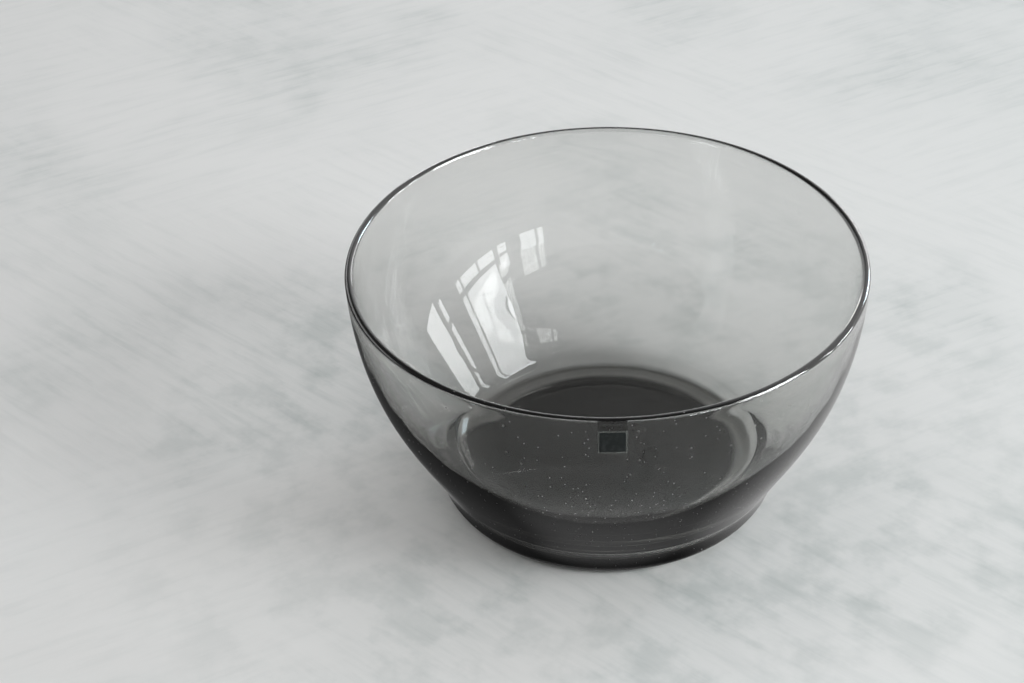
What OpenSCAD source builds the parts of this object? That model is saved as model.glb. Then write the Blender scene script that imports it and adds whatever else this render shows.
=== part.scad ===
// A round smoke-glass bowl with a thick solid base, a short heel and a small film label under its rim.
// Millimetres, +Z up. The origin is the centre of the foot, on the surface that the bowl stands on.
// The bowl is round about Z, and its label is on the -Y side.

/* [Bowl] */
// Outer diameter at the rim
rim_d = 200; // [160:1:260]
// Height from the foot to the top of the rim
bowl_h = 102; // [80:1:140]
// Diameter where the heel meets the flaring wall
heel_d = 138.6; // [120:0.1:150]
// Height of the heel
heel_h = 9; // [7.5:0.1:14]
// Diameter of the heel at its lower end, before its edge is rounded
foot_d = 137.2; // [110:0.1:138.4]
// Radius of the rounded edge between the heel and the foot
foot_edge_r = 6.2; // [1:0.1:7]
// Radius of the fine ridge that the mould's joint leaves round the heel
mould_line_r = 0.15; // [0.1:0.05:0.8]

/* [Glass thickness] */
// Thickness of the glass at the rim
rim_t = 3.2; // [1.5:0.1:5]
// Height over which the wall swells into the rim
rim_swell_h = 8; // [3:0.5:20]
// Thickness of the wall under that swelling
wall_t = 3; // [1.5:0.1:5]
// Thickness of the wall just above the heel
low_wall_t = 7; // [3:0.1:9]
// Thickness of the solid base
base_t = 6.5; // [4:0.1:12]
// Height above the inner floor where the rounded inner corner runs into the wall
inner_corner_h = 7; // [5:0.5:28]

/* [Wall curve] */
// Angle of the wall from upright where it leaves the heel, in degrees
flare_angle = 25; // [15:0.1:35]
// Angle of the wall from upright at the rim, in degrees
rim_angle = 1.7; // [0:0.1:6]

/* [Underside] */
// Width of the flat ring that the bowl stands on
stand_ring_w = 6; // [3:0.5:15]
// Depth of the shallow hollow inside that ring
hollow_depth = 0.8; // [0.3:0.1:2]

/* [Label] */
// Width of the label's clear film
film_w = 10.6; // [6:0.2:24]
// Height of the label's clear film
film_h = 10.4; // [6:0.2:24]
// Clear margin between the printed block and the film's edge
film_margin = 0.7; // [0.4:0.1:2]
// Radius of the film's corners
film_corner_r = 0.6; // [0.2:0.1:2]
// Distance from the top of the rim down to the film's upper edge
label_drop = 4.5; // [3:0.1:20]
// Thickness of the adhesive coat
adhesive_t = 0.04; // [0.02:0.01:0.1]
// Thickness of the clear film
film_t = 0.08; // [0.04:0.01:0.2]
// Thickness of the printed ink
ink_t = 0.02; // [0.01:0.01:0.05]

/* [Hidden] */

// Share of the way from heel to rim that the wall curve's two handles reach
heel_handle_share = 0.28;
rim_handle_share = 0.494;
// Power of the height's share by which the wall thins upwards from the heel
thinning = 2;
// Steps along the wall, the inner corner, the rounded rim, the foot's edge, the ridge and the hollow
wall_steps = 36;
corner_steps = 12;
rim_steps = 12;
edge_steps = 8;
ridge_steps = 6;
hollow_steps = 6;
$fn = 180;

rim_round_r = rim_t / 2;
heel_point = [heel_d / 2, heel_h];
rim_middle = [rim_d / 2 - rim_round_r, bowl_h - rim_round_r];
rim_point = rim_middle + rim_round_r * [cos(rim_angle), -sin(rim_angle)];
wall_span = norm(rim_point - heel_point);
heel_handle = heel_point + heel_handle_share * wall_span * [sin(flare_angle), cos(flare_angle)];
rim_handle = rim_point - rim_handle_share * wall_span * [sin(rim_angle), cos(rim_angle)];
stand_ring_r = foot_d / 2 - foot_edge_r - stand_ring_w;

// The outer wall in section, from the heel at u = 0 to the rim at u = 1
function outer(u) = pow(1 - u, 3) * heel_point + 3 * pow(1 - u, 2) * u * heel_handle
    + 3 * (1 - u) * pow(u, 2) * rim_handle + pow(u, 3) * rim_point;
function outer_way(u) = 3 * pow(1 - u, 2) * (heel_handle - heel_point)
    + 6 * (1 - u) * u * (rim_handle - heel_handle) + 3 * pow(u, 2) * (rim_point - rim_handle);
function outward(u) = [outer_way(u)[1], -outer_way(u)[0]] / norm(outer_way(u));
// The glass thins from the heel upwards, and swells again into the rim, q being the share of the swelling
function plain_thickness(u) = wall_t + (low_wall_t - wall_t) * pow(1 - u, thinning);
function swell(u) = let (q = max(0, 1 - (rim_point[1] - outer(u)[1]) / rim_swell_h)) q * q * (3 - 2 * q);
function thickness(u) = plain_thickness(u) + (rim_t - plain_thickness(u)) * swell(u);
function inner(u) = outer(u) - thickness(u) * outward(u);
// The same wall moved outwards by a distance, for the layers of the label
function skin(u, distance) = outer(u) + distance * outward(u);

// Where the inner corner runs into the wall, and the point under it where its curve is aimed
inner_wall = [for (i = [wall_steps:-1:0]) let (p = inner(i / wall_steps))
    if (p[1] > base_t + inner_corner_h) p];
corner_top = inner_wall[len(inner_wall) - 1];
corner_way = corner_top - inner_wall[len(inner_wall) - 2];
corner_aim = corner_top + corner_way * (base_t - corner_top[1]) / corner_way[1];
corner_end = [corner_aim[0] - norm(corner_top - corner_aim), base_t];

function corner(v) = pow(1 - v, 2) * corner_top + 2 * (1 - v) * v * corner_aim + pow(v, 2) * corner_end;

// The whole section of the glass, from the middle of the underside round to the middle of the floor
function hollow_curve() = [for (i = [0:hollow_steps]) let (s = i / hollow_steps)
    [stand_ring_r * s, hollow_depth * (1 - s * s)]];
function foot_edge() = [for (i = [0:edge_steps]) let (a = -90 + 90 * i / edge_steps)
    [foot_d / 2 - foot_edge_r, foot_edge_r] + foot_edge_r * [cos(a), sin(a)]];
// The ridge is an arc about the heel's corner, from its flank below round to the wall above
function mould_line() = let (
    flank = heel_point - [foot_d / 2, foot_edge_r],
    low = atan2(-flank[1], -flank[0]),
    high = 90 - flare_angle)
    [for (i = [0:ridge_steps]) let (a = low + (high - low) * i / ridge_steps)
        heel_point + mould_line_r * [cos(a), sin(a)]];
function rim_round() = [for (i = [0:rim_steps]) let (a = -rim_angle + 180 * i / rim_steps)
    rim_middle + rim_round_r * [cos(a), sin(a)]];
function glass_section() = concat(
    hollow_curve(),
    foot_edge(),
    mould_line(),
    [for (i = [1:wall_steps - 1]) outer(i / wall_steps)],
    rim_round(),
    [for (i = [1:len(inner_wall) - 1]) inner_wall[i]],
    [for (i = [1:corner_steps]) corner(i / corner_steps)],
    [[0, base_t]]
);

// A ring that lies on the outer wall between two distances from it
module wall_ring(near, far) {
    rotate_extrude()
        polygon(concat(
            [for (i = [0:wall_steps]) skin(i / wall_steps, far)],
            [for (i = [wall_steps:-1:0]) skin(i / wall_steps, near)]
        ));
}

// A rounded block that reaches from the axis out past the wall, where the label is
module label_block(w, h, corner_r) {
    middle_z = bowl_h - label_drop - film_h / 2;
    translate([0, 0, middle_z])
        rotate([90, 0, 0])
            linear_extrude(rim_d)
                union() {
                    square([w - 2 * corner_r, h], center = true);
                    square([w, h - 2 * corner_r], center = true);
                    for (x = [-1, 1], y = [-1, 1])
                        translate([x * (w / 2 - corner_r), y * (h / 2 - corner_r)])
                            circle(corner_r);
                }
}

// One blown and pressed piece of smoke glass, with a fire-rounded rim
module glass_bowl() {
    color([0.30, 0.31, 0.30, 0.6])
        rotate_extrude()
            polygon(glass_section());
}

// The clear coat that holds the film on the glass
module label_adhesive() {
    color([0.80, 0.81, 0.79, 0.5])
        intersection() {
            wall_ring(0, adhesive_t);
            label_block(film_w, film_h, film_corner_r);
        }
}

// The clear film
module label_film() {
    color([0.62, 0.64, 0.62])
        intersection() {
            wall_ring(adhesive_t, adhesive_t + film_t);
            label_block(film_w, film_h, film_corner_r);
        }
}

// The plain dark block printed on the film
module label_print() {
    color([0.10, 0.12, 0.12])
        intersection() {
            wall_ring(adhesive_t + film_t, adhesive_t + film_t + ink_t);
            label_block(film_w - 2 * film_margin, film_h - 2 * film_margin, film_corner_r / 2);
        }
}

glass_bowl();
label_adhesive();
label_film();
label_print();
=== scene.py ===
import logging
import math
from collections.abc import Sequence
from dataclasses import dataclass, field
from enum import Enum
from typing import Any

import bmesh
import bpy
from mathutils import Matrix, Vector


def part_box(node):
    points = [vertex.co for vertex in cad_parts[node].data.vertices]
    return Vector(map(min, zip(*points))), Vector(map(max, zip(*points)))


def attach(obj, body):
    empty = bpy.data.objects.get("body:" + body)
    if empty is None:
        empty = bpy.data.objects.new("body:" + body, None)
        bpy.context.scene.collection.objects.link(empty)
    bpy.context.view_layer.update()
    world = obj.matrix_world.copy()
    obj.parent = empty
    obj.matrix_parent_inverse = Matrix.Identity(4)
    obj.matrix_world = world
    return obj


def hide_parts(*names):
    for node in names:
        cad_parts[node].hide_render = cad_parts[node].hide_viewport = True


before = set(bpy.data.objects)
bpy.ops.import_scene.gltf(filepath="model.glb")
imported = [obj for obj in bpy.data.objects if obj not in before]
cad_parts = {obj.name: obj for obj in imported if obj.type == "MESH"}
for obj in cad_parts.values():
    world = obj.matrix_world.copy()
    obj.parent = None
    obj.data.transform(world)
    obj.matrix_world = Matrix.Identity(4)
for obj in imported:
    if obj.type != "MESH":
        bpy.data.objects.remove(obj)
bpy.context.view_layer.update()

MM = 0.001
Colour = tuple[float, float, float]
Triple = tuple[float, float, float]
Place = tuple[float, float]
Range = tuple[float, float]
FRONT: Range = (-50 * MM, -20 * MM)

log = logging.getLogger("smoke_bowl")


class Layer(Enum):
    """The three layers of the label, from the glass outwards."""

    ADHESIVE = "label_adhesive"
    FILM = "label_film"
    PRINT = "label_print"


class Coat(Enum):
    """The material names."""

    GLASS = "smoke_glass"
    ADHESIVE = "clear_adhesive"
    FILM = "clear_film"
    INK = "dark_ink"


# Shader maths


class Shade:
    """One output socket, on which arithmetic adds Math nodes to the same material."""

    def __init__(self, graph: "Graph", socket: bpy.types.NodeSocket) -> None:
        """Wraps a socket.

        Args:
            graph: the node tree that the socket belongs to.
            socket: an output socket that carries a number.
        """
        self.graph = graph
        self.socket = socket

    def _math(self, operation: str, *others: "Shade | float", swap: bool = False) -> "Shade":
        """Adds one Math node.

        Args:
            operation: Blender's name of the operation.
            others: the further values.
            swap: whether the first of the others comes before this value.

        Returns:
            The node's result.
        """
        values = [self, *others]
        if swap:
            values[0], values[1] = values[1], values[0]
        return self.graph.node("ShaderNodeMath", {"operation": operation}, dict(enumerate(values)))

    def __add__(self, other: "Shade | float") -> "Shade":
        """This value and another together."""
        return self._math("ADD", other)

    def __sub__(self, other: "Shade | float") -> "Shade":
        """This value less another."""
        return self._math("SUBTRACT", other)

    def __rsub__(self, other: float) -> "Shade":
        """A number less this value."""
        return self._math("SUBTRACT", other, swap=True)

    def __mul__(self, other: "Shade | float") -> "Shade":
        """This value times another."""
        return self._math("MULTIPLY", other)

    __radd__ = __add__
    __rmul__ = __mul__

    def at_least(self, other: "Shade | float") -> "Shade":
        """The larger of this value and another."""
        return self._math("MAXIMUM", other)

    def size(self) -> "Shade":
        """This value without its sign."""
        return self._math("ABSOLUTE")

    def under(self, limit: "Shade | float") -> "Shade":
        """1 where this value is less than the limit, and otherwise 0."""
        return self._math("LESS_THAN", limit)

    def ramp(self, start: float, end: float) -> "Shade":
        """This value turned into a smooth step.

        Args:
            start: the value that gives 0.
            end: the value that gives 1.

        Returns:
            A share from 0 to 1.
        """
        settings = {"interpolation_type": "SMOOTHSTEP"}
        links = {"Value": self, "From Min": start, "From Max": end}
        return self.graph.node("ShaderNodeMapRange", settings, links)


class Graph:
    """The node tree of one material or of the world."""

    def __init__(self, tree: bpy.types.NodeTree) -> None:
        """Clears a node tree and takes it over."""
        self.tree = tree
        tree.nodes.clear()

    def node(
        self,
        kind: str,
        settings: dict[str, Any] | None = None,
        inputs: dict[str | int, Any] | None = None,
        output: str | int = 0,
    ) -> Shade:
        """Adds one node.

        Args:
            kind: the node's type.
            settings: its properties, which are set first.
            inputs: a value or a link for each named or numbered input socket.
            output: the name or number of the output that is wanted.

        Returns:
            That output.
        """
        made = self.tree.nodes.new(kind)
        for name, value in (settings or {}).items():
            setattr(made, name, value)
        for key, value in (inputs or {}).items():
            if isinstance(value, Shade):
                self.tree.links.new(value.socket, made.inputs[key])
            else:
                made.inputs[key].default_value = value
        return Shade(self, made.outputs[output])

    def end(self, kind: str, inputs: dict[str, Shade]) -> None:
        """Adds the node that ends the tree, which has no output socket of its own.

        Args:
            kind: the node's type.
            inputs: a link for each named input socket.
        """
        made = self.tree.nodes.new(kind)
        for key, value in inputs.items():
            self.tree.links.new(value.socket, made.inputs[key])

    def mix(self, share: Shade | float, low: Shade | Colour, high: Shade | Colour) -> Shade:
        """A colour between two others.

        Args:
            share: 0 for the low colour and 1 for the high one.
            low: a colour or a link.
            high: a colour or a link.

        Returns:
            The mixed colour.
        """
        ends = [v if isinstance(v, Shade) else (*v, 1.0) for v in (low, high)]
        inputs = {0: share, 6: ends[0], 7: ends[1]}
        return self.node("ShaderNodeMix", {"data_type": "RGBA"}, inputs, 2)

    def place(self) -> Shade:
        """The point on the object, in metres, in the object's own frame."""
        return self.node("ShaderNodeTexCoord", output="Object")

    def part_of(self, vector: Shade, axis: str) -> Shade:
        """One coordinate of a vector."""
        return self.node("ShaderNodeSeparateXYZ", inputs={0: vector}, output=axis)

    def off_axis(self, vector: Shade) -> Shade:
        """How far a point is from the bowl's axis."""
        flat = self.node("ShaderNodeVectorMath", {"operation": "MULTIPLY"}, {0: vector, 1: (1, 1, 0)})
        return self.node("ShaderNodeVectorMath", {"operation": "LENGTH"}, {0: flat}, "Value")

    def stretched(self, vector: Shade, scale: Triple) -> Shade:
        """A vector with each coordinate times its own number."""
        return self.node("ShaderNodeVectorMath", {"operation": "MULTIPLY"}, {0: vector, 1: scale})

    def noise(self, vector: Shade, per_metre: float, detail: float = 2.0, rough: float = 0.5) -> Shade:
        """Soft noise from 0 to 1.

        Args:
            vector: where the noise is read.
            per_metre: its size, as features in a metre.
            detail: how many finer layers it has.
            rough: how strong those layers are.

        Returns:
            The noise.
        """
        inputs = {"Vector": vector, "Scale": per_metre, "Detail": detail, "Roughness": rough}
        return self.node("ShaderNodeTexNoise", inputs=inputs, output="Fac")

    def grains(self, vector: Shade, per_metre: float) -> Shade:
        """The distance to the nearest of many scattered points, in cells."""
        inputs = {"Vector": vector, "Scale": per_metre}
        return self.node("ShaderNodeTexVoronoi", inputs=inputs, output="Distance")

    def bump(self, height: Shade, depth: float, strength: float = 1.0) -> Shade:
        """A normal that leans with a height map.

        Args:
            height: the map, from 0 to 1.
            depth: the height of 1, in metres.
            strength: the share of the effect.

        Returns:
            The normal.
        """
        inputs = {"Height": height, "Distance": depth, "Strength": strength}
        return self.node("ShaderNodeBump", inputs=inputs, output="Normal")


# Finishes


@dataclass(frozen=True)
class Finish:
    """A material by name, which its subclasses fill."""

    name: str

    def make(self) -> bpy.types.Material:
        """Makes the material.

        Returns:
            The finished material.
        """
        material = bpy.data.materials.new(self.name)
        material.use_nodes = True
        graph = Graph(material.node_tree)
        surface, volume = self.shade(graph)
        sockets = {"Surface": surface}
        if volume is not None:
            sockets["Volume"] = volume
        graph.end("ShaderNodeOutputMaterial", sockets)
        return material

    def shade(self, graph: Graph) -> tuple[Shade, Shade | None]:
        """Builds the nodes.

        Args:
            graph: an empty node tree.

        Returns:
            The surface's shader, and the volume's where it has one.
        """
        raise NotImplementedError


def front_only(graph: Graph, place: Shade) -> Shade:
    """1 on the front of the bowl and 0 on its back."""
    return 1 - graph.part_of(place, "Y").ramp(*FRONT)


@dataclass(frozen=True)
class BaseShade:
    """Painted shade over the hollow under the base, in place of the bowl's shadow there; it reaches further
    at the front left, away from the windows.
    """

    inner: float = 53 * MM
    outer: float = 57 * MM
    top: float = 1.2 * MM
    top_fade_share: float = 1.5
    uneven: float = 2 * MM
    uneven_per_metre: float = 30.0
    wider: float = 12 * MM
    higher: float = 3 * MM
    away_range: Range = (-45 * MM, -10 * MM)
    diagonal_share: float = 0.7

    def clear(self, graph: Graph, place: Shade, radius: Shade, height: Shade) -> Shade:
        """Where the surface isn't darkened by the painted shade.

        Args:
            graph: the material's node tree.
            place: the point on the glass.
            radius: how far it is from the axis.
            height: its height.

        Returns:
            0 over the hollow, where shade is painted, and 1 past it.
        """
        uneven = graph.noise(place, self.uneven_per_metre, detail=3.0) - 0.5
        lit_side = (graph.part_of(place, "X") + graph.part_of(place, "Y")) * self.diagonal_share
        # painted shade: wider and higher on the side away from the windows
        shaded = 1 - lit_side.ramp(*self.away_range)
        edge = radius + uneven * self.uneven - shaded * self.wider
        outside = edge.ramp(self.inner, self.outer)
        lifted = height - shaded * self.higher
        return outside.at_least(lifted.ramp(self.top, self.top_fade_share * self.top))


@dataclass(frozen=True)
class MouldSeam:
    """The satin seam that the mould's joint leaves above the heel, with a painted highlight: brighter
    towards the right, where the windows are, and fainter on the left.
    """

    height: float = 13.5 * MM
    inner: float = 66 * MM
    half_w: float = 0.3 * MM
    bright: float = 0.45
    faint_share: float = 0.3
    painted_highlight_range: Range = (-70 * MM, 60 * MM)

    def strength(self, graph: Graph, place: Shade, radius: Shade, height: Shade) -> Shade:
        """Draws the seam on the front of the outer surface, with its painted highlight stronger towards the
        right.

        Args:
            graph: the material's node tree.
            place: the point on the glass.
            radius: how far it is from the axis.
            height: its height.

        Returns:
            1 on the seam where its painted highlight is strongest, less towards the left, and 0 off it.
        """
        off = (height - self.height).size()
        line = 1 - off.ramp(self.half_w / 2, self.half_w)
        outside = radius.ramp(self.inner, self.inner + MM)
        # painted highlight: the seam brightens towards the right, where the windows are
        across = graph.part_of(place, "X").ramp(*self.painted_highlight_range)
        painted_highlight_share = across * (1 - self.faint_share) + self.faint_share
        return line * outside * front_only(graph, place) * painted_highlight_share


@dataclass(frozen=True)
class Dust:
    """Specks of pale dust on the front: fine ones in patches, and scattered motes."""

    fine_per_metre: float = 330.0
    fine_reach: float = 0.06
    motes_per_metre: float = 150.0
    motes_reach: float = 0.05
    mote_stretch: Triple = (1.0, 1.0, 0.8)
    patch_per_metre: float = 22.0
    patch_range: Range = (0.25, 0.5)
    bright: float = 0.35

    def strength(self, graph: Graph, place: Shade) -> Shade:
        """Scatters the dust.

        Args:
            graph: the material's node tree.
            place: the point on the glass.

        Returns:
            1 on a speck and 0 on clean glass.
        """
        fine = graph.grains(place, self.fine_per_metre).under(self.fine_reach)
        stretched = graph.stretched(place, self.mote_stretch)
        motes = graph.grains(stretched, self.motes_per_metre).under(self.motes_reach)
        patches = graph.noise(place, self.patch_per_metre).ramp(*self.patch_range)
        return (fine * patches).at_least(motes) * front_only(graph, place)


@dataclass(frozen=True)
class SmokeGlass(Finish):
    """Clear smoke-grey glass with a polished rim, painted shade over the hollow under the base, a satin seam
    with a painted highlight and a little dust.
    """

    tint: Colour = (1.0, 1.0, 0.995)
    # the colour of the painted shade over the hollow under the base
    painted_shade_colour: Colour = (0.02, 0.02, 0.019)
    absorbed: Colour = (0.505, 0.505, 0.485)
    density: float = 94.0
    ior: float = 1.5
    shine: float = 0.5
    satin_rough: float = 0.6
    polish_from: float = 98.5 * MM
    polish_fade: float = 2 * MM
    polish_ior: float = 1.9
    flow_per_metre: float = 55.0
    flow_stretch: Triple = (1.0, 1.0, 0.35)
    flow_depth: float = 0.05 * MM
    base: BaseShade = BaseShade()
    seam: MouldSeam = MouldSeam()
    dust: Dust = Dust()

    def shade(self, graph: Graph) -> tuple[Shade, Shade | None]:
        """Builds the glass.

        Args:
            graph: an empty node tree.

        Returns:
            The glass's surface and its absorbing body.
        """
        place = graph.place()
        radius = graph.off_axis(place)
        height = graph.part_of(place, "Z")
        clear = self.base.clear(graph, place, radius, height)
        dust = self.dust.strength(graph, place)
        seam = self.seam.strength(graph, place, radius, height)
        inputs = {
            # painted shade over the hollow, mixed into the glass's colour
            "Base Color": graph.mix(clear, self.painted_shade_colour, self.tint),
            # dust, and the seam's painted highlight, which grows stronger towards the right
            "Metallic": (dust * self.dust.bright).at_least(seam * self.seam.bright),
            "Roughness": dust.at_least(seam) * self.satin_rough,
            "Normal": self.waves(graph, place),
            "Transmission Weight": 1.0,
            "IOR": self.ior,
            "Specular IOR Level": self.shine,
            "Coat Weight": height.ramp(self.polish_from, self.polish_from + self.polish_fade),
            "Coat IOR": self.polish_ior,
        }
        surface = graph.node("ShaderNodeBsdfPrincipled", inputs=inputs)
        body = {"Color": (*self.absorbed, 1.0), "Density": self.density}
        return surface, graph.node("ShaderNodeVolumeAbsorption", inputs=body)

    def waves(self, graph: Graph, place: Shade) -> Shade:
        """The normal: the slight flow of pressed glass, longer upwards than round.

        Args:
            graph: the material's node tree.
            place: the point on the glass.

        Returns:
            The normal.
        """
        stretched = graph.stretched(place, self.flow_stretch)
        flow = graph.noise(stretched, self.flow_per_metre, detail=1.0)
        return graph.bump(flow, self.flow_depth)


@dataclass(frozen=True)
class ClearSheet(Finish):
    """A clear sheet or coat that is a little milky."""

    tint: Colour = (0.75, 0.77, 0.75)
    body: Colour = (0.30, 0.31, 0.30)
    dim_share: float = 0.8
    milk: float = 0.25
    milk_spread: float = 0.2
    milk_rough: float = 0.3
    milk_rough_spread: float = 0.1
    rough: float = 0.03
    rough_spread: float = 0.03
    ior: float = 1.47
    cloud_per_metre: float = 900.0
    fine_per_metre: float = 5000.0
    fine_depth: float = 0.004 * MM

    def shade(self, graph: Graph) -> tuple[Shade, Shade | None]:
        """Builds the sheet.

        Args:
            graph: an empty node tree.

        Returns:
            The sheet's surface, with no body.
        """
        place = graph.place()
        cloud = graph.noise(place, self.cloud_per_metre)
        fine = graph.noise(place, self.fine_per_metre, detail=1.0)
        clear = {
            "Base Color": (*self.tint, 1.0),
            "Roughness": cloud * self.rough_spread + self.rough,
            "Transmission Weight": 1.0,
            "IOR": self.ior,
        }
        dim = tuple(self.dim_share * part for part in self.body)
        milky = {
            "Base Color": graph.mix(cloud, dim, self.body),
            "Roughness": cloud * self.milk_rough_spread + self.milk_rough,
            "Normal": graph.bump(fine, self.fine_depth),
        }
        inputs = {
            0: (cloud - 0.5) * self.milk_spread + self.milk,
            1: graph.node("ShaderNodeBsdfPrincipled", inputs=clear),
            2: graph.node("ShaderNodeBsdfPrincipled", inputs=milky),
        }
        return graph.node("ShaderNodeMixShader", inputs=inputs), None


@dataclass(frozen=True)
class DarkInk(Finish):
    """Matte dark printing ink, with a fine screen grain."""

    colour: Colour = (0.020, 0.024, 0.024)
    worn: Colour = (0.045, 0.050, 0.050)
    patch_per_metre: float = 700.0
    patch_range: Range = (0.45, 0.75)
    grain_per_metre: float = 9000.0
    grain_depth: float = 0.003 * MM
    rough: float = 0.34
    rough_spread: float = 0.14

    def shade(self, graph: Graph) -> tuple[Shade, Shade | None]:
        """Builds the ink.

        Args:
            graph: an empty node tree.

        Returns:
            The ink's surface, with no body.
        """
        place = graph.place()
        patches = graph.noise(place, self.patch_per_metre, detail=3.0).ramp(*self.patch_range)
        grain = graph.noise(place, self.grain_per_metre, detail=1.0)
        inputs = {
            "Base Color": graph.mix(patches, self.colour, self.worn),
            "Roughness": grain * self.rough_spread + self.rough,
            "Normal": graph.bump(grain, self.grain_depth),
        }
        return graph.node("ShaderNodeBsdfPrincipled", inputs=inputs), None


@dataclass(frozen=True)
class PaintedBoard(Finish):
    """A pale painted table top, brushed both ways, with cool grey patches where the paint is thin, and
    painted shade that darkens it towards the right, against the windows' stronger light there.
    """

    pale: Colour = (0.80, 0.80, 0.79)
    worn: Colour = (0.50, 0.535, 0.525)
    ways: tuple[float, float] = (-28.0, 40.0)
    ways_per_metre: float = 5.0
    ways_range: Range = (0.4, 0.6)
    strokes_per_metre: float = 22.0
    strokes_stretch: Triple = (1.0, 8.0, 1.0)
    strokes_range: Range = (0.42, 0.75)
    strokes_share: float = 0.14
    strokes_broad_share: float = 0.2
    strokes_depth: float = 0.3 * MM
    strokes_bump: float = 0.4
    broad_per_metre: float = 7.0
    broad_range: Range = (0.42, 0.68)
    broad_share: float = 0.18
    blots_per_metre: float = 34.0
    blots_range: Range = (0.44, 0.66)
    blots_broad_share: float = 0.2
    blots_near_share: float = 0.3
    near_range: Range = (0.1, 0.26)
    painted_shade_range: Range = (-0.1, 0.4)
    painted_shade_share: float = 0.24
    rough: float = 0.75
    rough_spread: float = 0.15

    def strokes(self, graph: Graph, place: Shade, degrees: float) -> Shade:
        """Brush strokes in one direction.

        Args:
            graph: the material's node tree.
            place: the point on the table.
            degrees: the strokes' direction.

        Returns:
            A share from 0 to 1.
        """
        rotation = (0, 0, math.radians(degrees))
        turned = graph.node("ShaderNodeMapping", inputs={"Vector": place, "Rotation": rotation})
        long = graph.stretched(turned, self.strokes_stretch)
        return graph.noise(long, self.strokes_per_metre, detail=5.0, rough=0.6)

    def wear_and_shade(self, graph: Graph, place: Shade, brushed: Shade) -> Shade:
        """How thin the paint is, with painted shade added towards the right.

        Args:
            graph: the material's node tree.
            place: the point on the table.
            brushed: the brush strokes there.

        Returns:
            0 for full paint, and more where it is thin or shaded towards the right.
        """
        broad = graph.noise(place, self.broad_per_metre, detail=3.0).ramp(*self.broad_range)
        blots = graph.noise(place, self.blots_per_metre, detail=4.0, rough=0.6).ramp(*self.blots_range)
        near = 1 - graph.off_axis(place).ramp(*self.near_range)
        # painted shade: the table darkens towards the right, where the windows light it more
        right = graph.part_of(place, "X").ramp(*self.painted_shade_range)
        patches = blots * (broad * self.blots_broad_share + near * self.blots_near_share)
        lines = brushed.ramp(*self.strokes_range) * (broad * self.strokes_broad_share + self.strokes_share)
        return patches + broad * self.broad_share + right * self.painted_shade_share + lines

    def shade(self, graph: Graph) -> tuple[Shade, Shade | None]:
        """Builds the paint.

        Args:
            graph: an empty node tree.

        Returns:
            The paint's surface, with no body.
        """
        place = graph.place()
        turn = graph.noise(place, self.ways_per_metre, detail=1.0).ramp(*self.ways_range)
        first, second = [self.strokes(graph, place, degrees) for degrees in self.ways]
        brushed = first + turn * (second - first)
        inputs = {
            # the worn colour stands for thin paint and for the painted shade towards the right
            "Base Color": graph.mix(self.wear_and_shade(graph, place, brushed), self.pale, self.worn),
            "Roughness": brushed * self.rough_spread + self.rough,
            "Normal": graph.bump(brushed, self.strokes_depth, self.strokes_bump),
        }
        return graph.node("ShaderNodeBsdfPrincipled", inputs=inputs), None


# Meshes


def arc(centre: Place, radius: float, start: float, end: float, steps: int) -> list[Place]:
    """Points on a round stretch of a section.

    Args:
        centre: its centre, off the axis and up.
        radius: its radius.
        start: the first angle in degrees, from straight outwards.
        end: the last angle.
        steps: how many stretches it has.

    Returns:
        The points.
    """
    angles = [math.radians(start + (end - start) * i / steps) for i in range(steps + 1)]
    return [(centre[0] + radius * math.cos(a), centre[1] + radius * math.sin(a)) for a in angles]


def bent(start: Vector, aim: Vector, end: Vector, steps: int) -> list[Place]:
    """Points on a bent stretch of a section.

    Args:
        start: where it starts, which isn't among the points.
        aim: the point that both of its ends head for.
        end: where it ends.
        steps: how many stretches it has.

    Returns:
        The points.
    """
    turns = [i / steps for i in range(1, steps + 1)]
    return [tuple((1 - v) ** 2 * start + 2 * (1 - v) * v * aim + v**2 * end) for v in turns]


def smooth_shaded(made: bmesh.types.BMesh, name: str, finish: Finish) -> bpy.types.Object:
    """Turns a bmesh into a smooth object with outward normals.

    Args:
        made: the mesh, which is freed.
        name: the object's name.
        finish: its finish.

    Returns:
        The object, at the origin.
    """
    bmesh.ops.recalc_face_normals(made, faces=made.faces)
    for face in made.faces:
        face.smooth = True
    mesh = bpy.data.meshes.new(name)
    made.to_mesh(mesh)
    made.free()
    mesh.materials.append(finish.make())
    obj = bpy.data.objects.new(name, mesh)
    bpy.context.scene.collection.objects.link(obj)
    return obj


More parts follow.
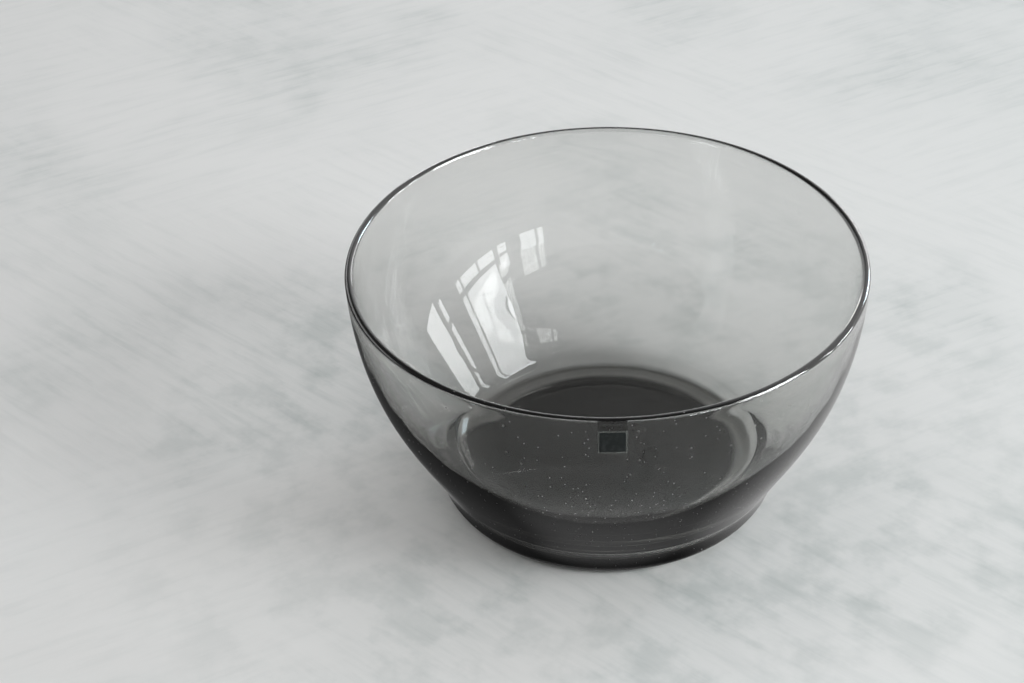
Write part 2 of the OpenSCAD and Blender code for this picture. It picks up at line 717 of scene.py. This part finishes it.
@dataclass
class Wall:
    """The outer wall in section, a curve from the heel at 0 to the rim at 1, and the glass behind it."""

    rim_radius: float
    height: float
    rim_t: float = 3.2 * MM
    rim_swell_h: float = 8 * MM
    wall_t: float = 3 * MM
    low_wall_t: float = 7 * MM
    thinning: float = 2.0
    heel_radius: float = 69.3 * MM
    heel_h: float = 9 * MM
    flare_angle: float = 25.0
    rim_angle: float = 1.7
    heel_handle_share: float = 0.28
    rim_handle_share: float = 0.494
    halvings: int = 40

    def __post_init__(self) -> None:
        """Works out the four points of the curve."""
        half = self.rim_t / 2
        self.rim_middle = Vector((self.rim_radius - half, self.height - half))
        flare = math.radians(self.flare_angle)
        lean = math.radians(self.rim_angle)
        heel = Vector((self.heel_radius, self.heel_h))
        rim = self.rim_middle + half * Vector((math.cos(lean), -math.sin(lean)))
        span = (rim - heel).length
        above_heel = heel + self.heel_handle_share * span * Vector((math.sin(flare), math.cos(flare)))
        below_rim = rim - self.rim_handle_share * span * Vector((math.sin(lean), math.cos(lean)))
        self.points = (heel, above_heel, below_rim, rim)

    def outer(self, share: float) -> Vector:
        """A point of the outer wall.

        Args:
            share: from 0 at the heel to 1 at the rim.

        Returns:
            The point, off the axis and up.
        """
        a, b, c, d = self.points
        rest = 1 - share
        return rest**3 * a + 3 * rest**2 * share * b + 3 * rest * share**2 * c + share**3 * d

    def outward(self, share: float) -> Vector:
        """The direction square to the outer wall there.

        Args:
            share: from 0 at the heel to 1 at the rim.

        Returns:
            A unit vector, off the axis and up.
        """
        a, b, c, d = self.points
        rest = 1 - share
        way = rest**2 * (b - a) + 2 * rest * share * (c - b) + share**2 * (d - c)
        return Vector((way.y, -way.x)).normalized()

    def thickness(self, share: float) -> float:
        """The thickness of the glass, which swells into the rim.

        Args:
            share: from 0 at the heel to 1 at the rim.

        Returns:
            The thickness.
        """
        plain = self.wall_t + (self.low_wall_t - self.wall_t) * (1 - share) ** self.thinning
        q = max(0.0, 1 - (self.points[3].y - self.outer(share).y) / self.rim_swell_h)
        return plain + (self.rim_t - plain) * q * q * (3 - 2 * q)

    def inner(self, share: float) -> Vector:
        """The point of the inner wall behind an outer one.

        Args:
            share: from 0 at the heel to 1 at the rim.

        Returns:
            The point, off the axis and up.
        """
        return self.outer(share) - self.thickness(share) * self.outward(share)

    def share_at(self, height: float) -> float:
        """How far along the curve the outer wall reaches a height.

        Args:
            height: the height.

        Returns:
            The share from 0 to 1.
        """
        low, high = 0.0, 1.0
        for _ in range(self.halvings):
            middle = (low + high) / 2
            if self.outer(middle).y < height:
                low = middle
            else:
                high = middle
        return (low + high) / 2


@dataclass
class GlassBowl:
    """The bowl itself: one revolved body of glass with a solid base, a heel and a round rim."""

    wall: Wall
    foot_radius: float = 68.6 * MM
    foot_edge_r: float = 6.2 * MM
    heel_share: float = 0.06
    base_t: float = 6.5 * MM
    inner_corner_h: float = 7 * MM
    flank_angle: float = 14.0
    stand_ring_w: float = 6 * MM
    hollow_depth: float = 0.8 * MM
    segments: int = 256
    hollow_steps: int = 16
    edge_steps: int = 12
    heel_steps: int = 16
    wall_steps: int = 90
    rim_steps: int = 24
    corner_steps: int = 24
    axis_tolerance: float = 0.001 * MM
    finish: Finish = field(default_factory=lambda: SmokeGlass(Coat.GLASS.value))

    def underside(self) -> list[Place]:
        """The hollow, the ring that the bowl stands on and the foot's rounded edge.

        Returns:
            The points from the axis outwards.
        """
        ring = self.foot_radius - self.foot_edge_r - self.stand_ring_w
        shares = [i / self.hollow_steps for i in range(self.hollow_steps + 1)]
        hollow = [(ring * s, self.hollow_depth * (1 - s * s)) for s in shares]
        centre = (self.foot_radius - self.foot_edge_r, self.foot_edge_r)
        return hollow + arc(centre, self.foot_edge_r, -90, -self.flank_angle, self.edge_steps)

    def heel(self) -> list[Place]:
        """The heel, which curves smoothly from the foot's edge into the wall.

        Returns:
            The points above the foot's edge.
        """
        start = Vector(self.underside()[-1])
        end, way = self.wall.outer(self.heel_share), self.wall.outward(self.heel_share)
        flank, flare = math.tan(math.radians(self.flank_angle)), -way.y / way.x
        up = (end.x - start.x - flare * (end.y - start.y)) / (flank - flare)
        aim = start + up * Vector((flank, 1))
        return bent(start, aim, end, self.heel_steps)

    def outside(self) -> list[Place]:
        """The outer wall above the heel, and the rim.

        Returns:
            The points from the heel to the rim's inner side.
        """
        shares = [i / self.wall_steps for i in range(self.wall_steps)]
        lean = self.wall.rim_angle
        rim = arc(tuple(self.wall.rim_middle), self.wall.rim_t / 2, -lean, 180 - lean, self.rim_steps)
        return [tuple(self.wall.outer(s)) for s in shares if s > self.heel_share] + rim

    def inside(self) -> list[Place]:
        """The inner wall, the rounded inner corner and the floor.

        Returns:
            The points from below the rim to the axis.
        """
        shares = [i / self.wall_steps for i in range(self.wall_steps - 1, -1, -1)]
        wall = [self.wall.inner(s) for s in shares]
        wall = [p for p in wall if p.y > self.base_t + self.inner_corner_h]
        top, way = wall[-1], wall[-1] - wall[-2]
        aim = top + way * (self.base_t - top.y) / way.y
        end = Vector((aim.x - (top - aim).length, self.base_t))
        return [tuple(p) for p in wall] + bent(top, aim, end, self.corner_steps) + [(0.0, self.base_t)]

    def build(self) -> bpy.types.Object:
        """Revolves the section round the axis.

        Returns:
            The bowl.
        """
        section = self.underside() + self.heel() + self.outside() + self.inside()
        made = bmesh.new()
        turns = [2 * math.pi * i / self.segments for i in range(self.segments)]
        rings = []
        for radius, height in section:
            if radius < self.axis_tolerance:
                rings.append([made.verts.new((0, 0, height))] * self.segments)
            else:
                rings.append(
                    [made.verts.new((radius * math.cos(a), radius * math.sin(a), height)) for a in turns]
                )
        for low, high in zip(rings, rings[1:]):
            for i in range(self.segments):
                j = (i + 1) % self.segments
                corners = dict.fromkeys((low[i], low[j], high[j], high[i]))
                made.faces.new(list(corners))
        bowl = smooth_shaded(made, "bowl_body", self.finish)
        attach(bowl, "root")
        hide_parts("glass_bowl")
        return bowl


@dataclass
class FilmLabel:
    """The plain film label under the rim: an adhesive coat, a clear film and a bare dark printed block."""

    wall: Wall
    width: float = 10.6 * MM
    height: float = 10.4 * MM
    margin: float = 0.7 * MM
    corner_r: float = 0.6 * MM
    adhesive_t: float = 0.04 * MM
    film_t: float = 0.08 * MM
    ink_t: float = 0.02 * MM
    gap: float = 0.002 * MM
    adhesive_milk: float = 0.04
    film_milk: float = 0.10
    columns: int = 28
    rows: int = 28

    def middle(self) -> float:
        """The height of the label's middle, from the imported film."""
        low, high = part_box(Layer.FILM.value)
        return (low.z + high.z) / 2

    def slab(
        self, name: str, size: Place, corner_r: float, depth: Range, finish: Finish
    ) -> bpy.types.Object:
        """A thin rounded sheet that lies on the wall.

        Args:
            name: the object's name.
            size: its width and height.
            corner_r: the radius of its corners.
            depth: how far its back and its front are from the glass.
            finish: its finish.

        Returns:
            The sheet.
        """
        made = bmesh.new()
        half_w, half_h = size[0] / 2, size[1] / 2
        sides = [self._grid(made, half_w, half_h, corner_r, d) for d in depth]
        for grid in sides:
            for low, high in zip(grid, grid[1:]):
                for i in range(self.columns):
                    made.faces.new((low[i], low[i + 1], high[i + 1], high[i]))
        back, front = [self._edge(grid) for grid in sides]
        for i, corner in enumerate(back):
            j = (i + 1) % len(back)
            made.faces.new((corner, back[j], front[j], front[i]))
        return smooth_shaded(made, name, finish)

    def _grid(
        self, made: bmesh.types.BMesh, half_w: float, half_h: float, corner_r: float, depth: float
    ) -> list[list[bmesh.types.BMVert]]:
        """Adds the points of one side of a sheet.

        Args:
            made: the mesh.
            half_w: half of the sheet's width.
            half_h: half of its height.
            corner_r: the radius of its corners.
            depth: how far this side is from the glass.

        Returns:
            The points, in rows from the bottom.
        """
        grid = []
        for row in range(self.rows + 1):
            up = -half_h * math.cos(math.pi * row / self.rows)
            into = max(0.0, abs(up) - (half_h - corner_r))
            reach = half_w - corner_r + math.sqrt(max(0.0, corner_r**2 - into**2))
            share = self.wall.share_at(self.middle() + up)
            place = self.wall.outer(share) + depth * self.wall.outward(share)
            points = []
            for column in range(self.columns + 1):
                x = reach * (2 * column / self.columns - 1)
                points.append(made.verts.new((x, -math.sqrt(place.x**2 - x**2), place.y)))
            grid.append(points)
        return grid

    def _edge(self, grid: list[list[bmesh.types.BMVert]]) -> list[bmesh.types.BMVert]:
        """The points round a grid's border, in order.

        Args:
            grid: the points of one side of a sheet, in rows from the bottom.

        Returns:
            The points of the border.
        """
        right = [row[-1] for row in grid[1:-1]]
        left = [row[0] for row in reversed(grid[1:-1])]
        return grid[0] + right + grid[-1][::-1] + left

    def build(self) -> list[bpy.types.Object]:
        """Builds the three layers, one on the other.

        Returns:
            The adhesive, the film and the printed block.
        """
        film_front = self.adhesive_t + self.film_t
        size = (self.width, self.height)
        block = (self.width - 2 * self.margin, self.height - 2 * self.margin)
        adhesive = ClearSheet(Coat.ADHESIVE.value, milk=self.adhesive_milk)
        film = ClearSheet(Coat.FILM.value, milk=self.film_milk)
        ink = DarkInk(Coat.INK.value)
        adhesive_depth = (self.gap, self.adhesive_t - self.gap)
        film_depth = (self.adhesive_t, film_front)
        ink_depth = (film_front + self.gap, film_front + self.ink_t)
        layers = (
            (Layer.ADHESIVE, Coat.ADHESIVE, size, self.corner_r, adhesive_depth, adhesive),
            (Layer.FILM, Coat.FILM, size, self.corner_r, film_depth, film),
            (Layer.PRINT, Coat.INK, block, self.corner_r / 2, ink_depth, ink),
        )
        pieces = []
        for layer, slot, extent, corner_r, depth, finish in layers:
            piece = self.slab(f"{layer.value}_sheet", extent, corner_r, depth, finish)
            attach(piece, "root")
            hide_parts(layer.value)
            pieces.append(piece)
        return pieces


# The studio


@dataclass(frozen=True)
class SoftLamp:
    """A rectangular area light, which the camera doesn't see."""

    name: str
    place: Triple
    size: Place
    radiance: float
    colour: Colour = (1.0, 1.0, 1.0)
    target: Triple = (0.0, 0.0, 0.1)
    mirrored: bool = True

    def build(self) -> bpy.types.Object:
        """Adds the lamp, aimed at its target.

        Returns:
            The lamp's object.
        """
        way = Vector(self.target) - Vector(self.place)
        return self.hang(way.to_track_quat("-Z", "Y").to_matrix())

    def hang(self, turned: Matrix) -> bpy.types.Object:
        """Adds the lamp.

        Args:
            turned: its rotation. It shines down its own -Z.

        Returns:
            The lamp's object.
        """
        lamp = bpy.data.lights.new(self.name, "AREA")
        lamp.shape = "RECTANGLE"
        lamp.size, lamp.size_y = self.size
        lamp.energy = self.radiance * math.pi * self.size[0] * self.size[1]
        lamp.color = self.colour
        obj = bpy.data.objects.new(self.name, lamp)
        obj.matrix_world = Matrix.Translation(self.place) @ turned.to_4x4()
        obj.visible_camera = False
        obj.visible_glossy = self.mirrored
        bpy.context.scene.collection.objects.link(obj)
        return obj


@dataclass(frozen=True)
class BarredWindow:
    """A window seen from the bowl, whose bars split it into panes, each of them a soft lamp."""

    name: str
    azimuth: float
    elevation: float
    wide: float
    tall: float
    radiance: float
    column_shares: tuple[float, ...] = (1.0,)
    row_shares: tuple[float, ...] = (1.0,)
    bar: float = 0.045
    cool: Colour = (0.96, 0.99, 1.0)
    distance: float = 2.0
    eye: Triple = (0.0, 0.0, 0.04)

    def spans(self, shares: Sequence[float], length: float) -> list[tuple[float, float]]:
        """Splits a side of the window into panes with bars between them.

        Args:
            shares: the panes' parts of the side.
            length: the side's length.

        Returns:
            Each pane's middle, from the window's own, and its length.
        """
        clear = length - self.bar * (len(shares) - 1)
        start = -length / 2
        spans = []
        for share in shares:
            extent = clear * share / sum(shares)
            spans.append((start + extent / 2, extent))
            start += extent + self.bar
        return spans

    def build(self) -> list[bpy.types.Object]:
        """Adds a lamp for each pane.

        Returns:
            The lamps.
        """
        turn, tilt = math.radians(self.azimuth), math.radians(self.elevation)
        out = Vector((math.cos(tilt) * math.cos(turn), math.cos(tilt) * math.sin(turn), math.sin(tilt)))
        middle = Vector(self.eye) + self.distance * out
        across = Vector((-math.sin(turn), math.cos(turn), 0))
        along = out.cross(across)
        size = [2 * self.distance * math.tan(math.radians(angle) / 2) for angle in (self.wide, self.tall)]
        turned = Matrix((across, along, out)).transposed()
        lamps = []
        for column, (x, pane_w) in enumerate(self.spans(self.column_shares, size[0])):
            for row, (y, pane_h) in enumerate(self.spans(self.row_shares, size[1])):
                name = f"{self.name}_pane_{column}_{row}"
                centre = middle + across * x + along * y
                lamp = SoftLamp(name, tuple(centre), (pane_w, pane_h), self.radiance, self.cool)
                lamps.append(lamp.hang(turned))
        return lamps


@dataclass
class Studio:
    """The pale table, the soft light and the room around them."""

    table_half: float = 4.0
    table_gap: float = 0.01 * MM
    room_left: float = 0.07
    room_right: float = 0.62
    room_under: float = 0.22
    side_right_share: float = 0.6
    side_away_share: float = 0.5
    side_range: Range = (0.15, 0.6)
    under_range: Range = (-1.0, -0.92)
    pale_room: float = 0.8
    pale_range: Range = (0.25, 0.55)
    horizon_range: Range = (-0.02, 0.02)
    behind_range: Range = (-0.1, 0.2)

    def table(self) -> bpy.types.Object:
        """Lays the table top just under the foot.

        Returns:
            The table top.
        """
        made = bmesh.new()
        half, down = self.table_half, -self.table_gap
        corners = ((-half, -half), (half, -half), (half, half), (-half, half))
        made.faces.new([made.verts.new((x, y, down)) for x, y in corners])
        top = smooth_shaded(made, "table_top", PaintedBoard("painted_board"))
        top.visible_glossy = False
        return top

    def lamps(self) -> list[bpy.types.Object]:
        """Hangs the windows and the soft lamps.

        Returns:
            All the lamps, one for each pane of the windows among them.
        """
        windows = (
            BarredWindow(
                "main_window",
                azimuth=-20,
                elevation=25.5,
                wide=24.5,
                tall=29,
                radiance=9.5,
                column_shares=(0.88, 0.12),
            ),
            BarredWindow(
                "low_panes",
                azimuth=-20,
                elevation=7.1,
                wide=24.5,
                tall=4,
                radiance=9.5,
                column_shares=(0.42, 0.46, 0.12),
            ),
            BarredWindow(
                "right_sash",
                azimuth=-37.6,
                elevation=9.6,
                wide=5,
                tall=10,
                radiance=8.5,
                row_shares=(0.42, 0.58),
            ),
            BarredWindow(
                "far_window",
                azimuth=-53.8,
                elevation=8,
                wide=12,
                tall=7,
                radiance=8.0,
                column_shares=(0.25, 0.75),
            ),
            BarredWindow(
                "left_window",
                azimuth=14.8,
                elevation=5.2,
                wide=11,
                tall=9.6,
                radiance=9.5,
            ),
            BarredWindow(
                "left_strip",
                azimuth=5.2,
                elevation=14,
                wide=2.4,
                tall=23,
                radiance=9.5,
                row_shares=(0.28, 0.72),
            ),
            BarredWindow(
                "blue_window",
                azimuth=42,
                elevation=14,
                wide=12,
                tall=14,
                radiance=8.0,
                cool=(0.7, 0.88, 1.0),
            ),
        )
        lamps = (
            SoftLamp("back_bounce", place=(1.0, 1.24, 0.33), size=(0.95, 0.65), radiance=1.7),
            SoftLamp("back_slit", place=(-0.32, 1.57, 0.3), size=(0.25, 0.5), radiance=3.0),
            SoftLamp("overhead", place=(-0.4, -0.1, 1.6), size=(2.6, 2.6), radiance=0.86, mirrored=False),
        )
        panes = [pane for window in windows for pane in window.build()]
        return panes + [lamp.build() for lamp in lamps]

    def world(self) -> None:
        """Sets the room's even light, with a pale background low down, mirrored too from behind the bowl."""
        world = bpy.data.worlds.new("room")
        world.use_nodes = True
        bpy.context.scene.world = world
        graph = Graph(world.node_tree)
        way = graph.node("ShaderNodeTexCoord", output="Generated")
        height = graph.part_of(way, "Z")
        low = 1 - height.ramp(*self.pale_range)
        right, away = graph.part_of(way, "X"), graph.part_of(way, "Y")
        sideways = right * self.side_right_share + away * self.side_away_share
        side = sideways.ramp(*self.side_range)
        under = 1 - height.ramp(*self.under_range)
        room = side * (self.room_right - self.room_left) + under * self.room_under + self.room_left
        seen = graph.node("ShaderNodeLightPath", output="Is Camera Ray")
        through = graph.node("ShaderNodeLightPath", output="Is Transmission Ray")
        mirrored = graph.node("ShaderNodeLightPath", output="Is Glossy Ray")
        behind = height.ramp(*self.horizon_range) * away.ramp(*self.behind_range)
        shown = seen.at_least(through).at_least(mirrored * behind)
        strength = room + shown * low * (self.pale_room - room)
        light = graph.node("ShaderNodeBackground", inputs={"Color": (1, 1, 1, 1), "Strength": strength})
        graph.end("ShaderNodeOutputWorld", {"Surface": light})

    def build(self) -> None:
        """Builds the table, the lamps and the room."""
        table = self.table()
        lamps = self.lamps()
        self.world()
        log.info("%s laid, %d lamps hung", table.name, len(lamps))


@dataclass
class PhotoCamera:
    """The camera where the photograph was taken, from the fit to the bowl's rim, foot and sides."""

    focal_px: float = 2000.0
    photo_w_px: float = 1024.0
    sensor: float = 36.0
    elevation: float = 36.28
    roll: float = -2.16
    turn: float = 2.13
    distance: float = 0.8243
    right_by: float = -0.0371
    up_by: float = 0.0516

    def build(self) -> bpy.types.Object:
        """Adds the camera.

        Returns:
            The camera's object.
        """
        data = bpy.data.cameras.new("photo_camera")
        data.sensor_width = self.sensor
        data.lens = self.focal_px / self.photo_w_px * self.sensor
        tilt, roll = math.radians(self.elevation), math.radians(self.roll)
        back = Vector((0, -math.cos(tilt), math.sin(tilt)))
        right = Vector((1, 0, 0))
        up = Vector((0, math.sin(tilt), math.cos(tilt)))
        place = back * self.distance + right * self.right_by + up * self.up_by
        rolled_right = math.cos(roll) * right + math.sin(roll) * up
        rolled_up = math.cos(roll) * up - math.sin(roll) * right
        pose = Matrix((rolled_right, rolled_up, back)).transposed().to_4x4()
        pose.translation = place
        obj = bpy.data.objects.new("photo_camera", data)
        obj.matrix_world = Matrix.Rotation(math.radians(self.turn), 4, "Z") @ pose
        bpy.context.scene.collection.objects.link(obj)
        bpy.context.scene.camera = obj
        return obj


def main() -> None:
    """Builds the camera, the bowl, its label and the studio, in that order."""
    logging.basicConfig(level=logging.INFO, format="%(name)s: %(message)s")
    bpy.context.scene.view_settings.view_transform = "Standard"
    PhotoCamera().build()
    low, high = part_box("glass_bowl")
    wall = Wall(rim_radius=(high.x - low.x) / 2, height=high.z)
    bowl = GlassBowl(wall).build()
    log.info("%s: %d faces", bowl.name, len(bowl.data.polygons))
    for piece in FilmLabel(wall).build():
        log.info("%s: %d faces", piece.name, len(piece.data.polygons))
    Studio().build()


if __name__ == "__main__":
    main()
